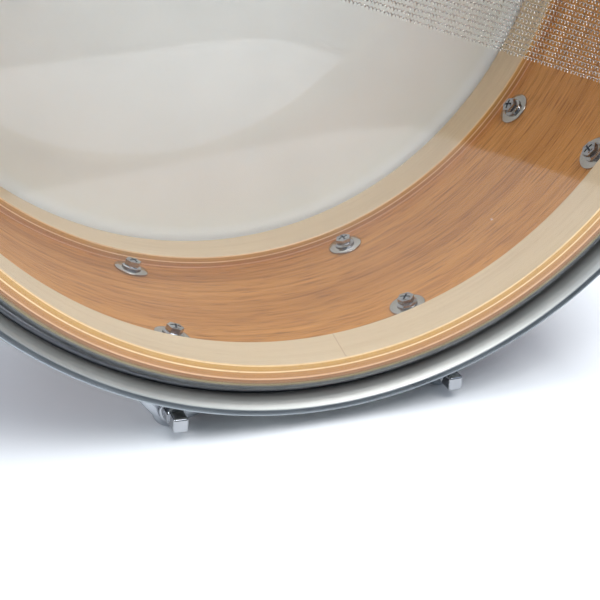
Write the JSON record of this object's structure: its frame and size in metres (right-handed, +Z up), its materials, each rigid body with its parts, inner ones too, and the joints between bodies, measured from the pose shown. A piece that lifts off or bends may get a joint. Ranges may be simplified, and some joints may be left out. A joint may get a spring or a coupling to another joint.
{
  "type": "snare drum",
  "caption": "Shallow wooden drum shell with reinforcement rings, clear and coated heads, flanged metal hoops, tension rods in tube lugs, and snare wires with a throw-off strainer.",
  "frame": {"origin": "on the floor, below the middle of the drum, which lies on the ears of its two hoops", "axes": "+Y along the drum's axis from the snare side to the batter side, +Z up, +X to the right seen from the snare side"},
  "size_m": [0.3998, 0.1544, 0.3818],
  "materials": {
    "mahogany": "satin mahogany ply, long grain round the shell",
    "maple": "sanded maple ply",
    "nickel": "satin nickel plate",
    "chrome": "polished chrome plate",
    "dark_steel": "dark grey rolled channel",
    "brass": "drawn brass wire and plates",
    "clear_film": "clear thin polyester film",
    "coated_film": "white sprayed coating on polyester film",
    "strap_film": "translucent polyester strap"
  },
  "bodies": {
    "drum": {"shell": "mahogany", "ring_snare_side": "maple", "ring_batter_side": "maple", "vent_grommet": "chrome", "head_snare_side": "clear_film", "head_batter_side": "coated_film", "flesh_hoop_snare_side": "dark_steel", "flesh_hoop_batter_side": "dark_steel", "hoop_snare_side": "nickel", "hoop_batter_side": "nickel", "lug_01": "chrome", "lug_02": "chrome", "lug_03": "chrome", "lug_04": "chrome", "lug_05": "chrome", "lug_06": "chrome", "lug_07": "chrome", "lug_08": "chrome", "lug_09": "chrome", "lug_10": "chrome", "strainer_base": "chrome", "butt_base": "chrome", "butt_clamp": "nickel", "strap_strainer": "strap_film", "strap_butt": "strap_film", "snare_wires": "brass"},
    "rod_snare_01": {"rod_snare_01": "chrome"},
    "rod_snare_02": {"rod_snare_02": "chrome"},
    "rod_snare_03": {"rod_snare_03": "chrome"},
    "rod_snare_04": {"rod_snare_04": "chrome"},
    "rod_snare_05": {"rod_snare_05": "chrome"},
    "rod_snare_06": {"rod_snare_06": "chrome"},
    "rod_snare_07": {"rod_snare_07": "chrome"},
    "rod_snare_08": {"rod_snare_08": "chrome"},
    "rod_snare_09": {"rod_snare_09": "chrome"},
    "rod_snare_10": {"rod_snare_10": "chrome"},
    "rod_batter_01": {"rod_batter_01": "chrome"},
    "rod_batter_02": {"rod_batter_02": "chrome"},
    "rod_batter_03": {"rod_batter_03": "chrome"},
    "rod_batter_04": {"rod_batter_04": "chrome"},
    "rod_batter_05": {"rod_batter_05": "chrome"},
    "rod_batter_06": {"rod_batter_06": "chrome"},
    "rod_batter_07": {"rod_batter_07": "chrome"},
    "rod_batter_08": {"rod_batter_08": "chrome"},
    "rod_batter_09": {"rod_batter_09": "chrome"},
    "rod_batter_10": {"rod_batter_10": "chrome"},
    "strainer_lever": {"strainer_lever": "chrome"},
    "strainer_slider": {"strainer_slider": "nickel", "strainer_clamp": "nickel"},
    "strainer_knob": {"strainer_knob": "nickel"}
  },
  "joints": [
    {"name": "rod_snare_01_turn", "type": "hinge", "parent": "drum", "child": "rod_snare_01", "pos_m": [0.05942, -0.05875, 0.008], "axis": [0, -1, 0], "continuous": true},
    {"name": "rod_snare_02_turn", "type": "hinge", "parent": "drum", "child": "rod_snare_02", "pos_m": [0.15557, -0.05875, 0.07786], "axis": [0, -1, 0], "continuous": true},
    {"name": "rod_snare_03_turn", "type": "hinge", "parent": "drum", "child": "rod_snare_03", "pos_m": [0.1923, -0.05875, 0.19089], "axis": [0, -1, 0], "continuous": true},
    {"name": "rod_snare_04_turn", "type": "hinge", "parent": "drum", "child": "rod_snare_04", "pos_m": [0.15557, -0.05875, 0.30392], "axis": [0, -1, 0], "continuous": true},
    {"name": "rod_snare_05_turn", "type": "hinge", "parent": "drum", "child": "rod_snare_05", "pos_m": [0.05942, -0.05875, 0.37378], "axis": [0, -1, 0], "continuous": true},
    {"name": "rod_snare_06_turn", "type": "hinge", "parent": "drum", "child": "rod_snare_06", "pos_m": [-0.05942, -0.05875, 0.37378], "axis": [0, -1, 0], "continuous": true},
    {"name": "rod_snare_07_turn", "type": "hinge", "parent": "drum", "child": "rod_snare_07", "pos_m": [-0.15557, -0.05875, 0.30392], "axis": [0, -1, 0], "continuous": true},
    {"name": "rod_snare_08_turn", "type": "hinge", "parent": "drum", "child": "rod_snare_08", "pos_m": [-0.1923, -0.05875, 0.19089], "axis": [0, -1, 0], "continuous": true},
    {"name": "rod_snare_09_turn", "type": "hinge", "parent": "drum", "child": "rod_snare_09", "pos_m": [-0.15557, -0.05875, 0.07786], "axis": [0, -1, 0], "continuous": true},
    {"name": "rod_snare_10_turn", "type": "hinge", "parent": "drum", "child": "rod_snare_10", "pos_m": [-0.05942, -0.05875, 0.008], "axis": [0, -1, 0], "continuous": true},
    {"name": "rod_batter_01_turn", "type": "hinge", "parent": "drum", "child": "rod_batter_01", "pos_m": [0.05942, 0.05875, 0.008], "axis": [0, 1, 0], "continuous": true},
    {"name": "rod_batter_02_turn", "type": "hinge", "parent": "drum", "child": "rod_batter_02", "pos_m": [0.15557, 0.05875, 0.07786], "axis": [0, 1, 0], "continuous": true},
    {"name": "rod_batter_03_turn", "type": "hinge", "parent": "drum", "child": "rod_batter_03", "pos_m": [0.1923, 0.05875, 0.19089], "axis": [0, 1, 0], "continuous": true},
    {"name": "rod_batter_04_turn", "type": "hinge", "parent": "drum", "child": "rod_batter_04", "pos_m": [0.15557, 0.05875, 0.30392], "axis": [0, 1, 0], "continuous": true},
    {"name": "rod_batter_05_turn", "type": "hinge", "parent": "drum", "child": "rod_batter_05", "pos_m": [0.05942, 0.05875, 0.37378], "axis": [0, 1, 0], "continuous": true},
    {"name": "rod_batter_06_turn", "type": "hinge", "parent": "drum", "child": "rod_batter_06", "pos_m": [-0.05942, 0.05875, 0.37378], "axis": [0, 1, 0], "continuous": true},
    {"name": "rod_batter_07_turn", "type": "hinge", "parent": "drum", "child": "rod_batter_07", "pos_m": [-0.15557, 0.05875, 0.30392], "axis": [0, 1, 0], "continuous": true},
    {"name": "rod_batter_08_turn", "type": "hinge", "parent": "drum", "child": "rod_batter_08", "pos_m": [-0.1923, 0.05875, 0.19089], "axis": [0, 1, 0], "continuous": true},
    {"name": "rod_batter_09_turn", "type": "hinge", "parent": "drum", "child": "rod_batter_09", "pos_m": [-0.15557, 0.05875, 0.07786], "axis": [0, 1, 0], "continuous": true},
    {"name": "rod_batter_10_turn", "type": "hinge", "parent": "drum", "child": "rod_batter_10", "pos_m": [-0.05942, 0.05875, 0.008], "axis": [0, 1, 0], "continuous": true},
    {"name": "throw_off", "type": "hinge", "parent": "drum", "child": "strainer_lever", "pos_m": [-0.18451, 0.00725, 0.25084], "axis": [0.309, 0, 0.9511], "range_deg": [0, 95]},
    {"name": "slider_release", "type": "slide", "parent": "drum", "child": "strainer_slider", "axis": [0, -1, 0], "range_m": [0, 0.006]},
    {"name": "knob_turn", "type": "hinge", "parent": "drum", "child": "strainer_knob", "pos_m": [-0.17357, 0.02725, 0.24728], "axis": [0, -1, 0], "continuous": true}
  ],
  "couplings": [
    {"joint": "slider_release", "follows": "throw_off", "m_per_rad": 0.0036186}
  ]
}
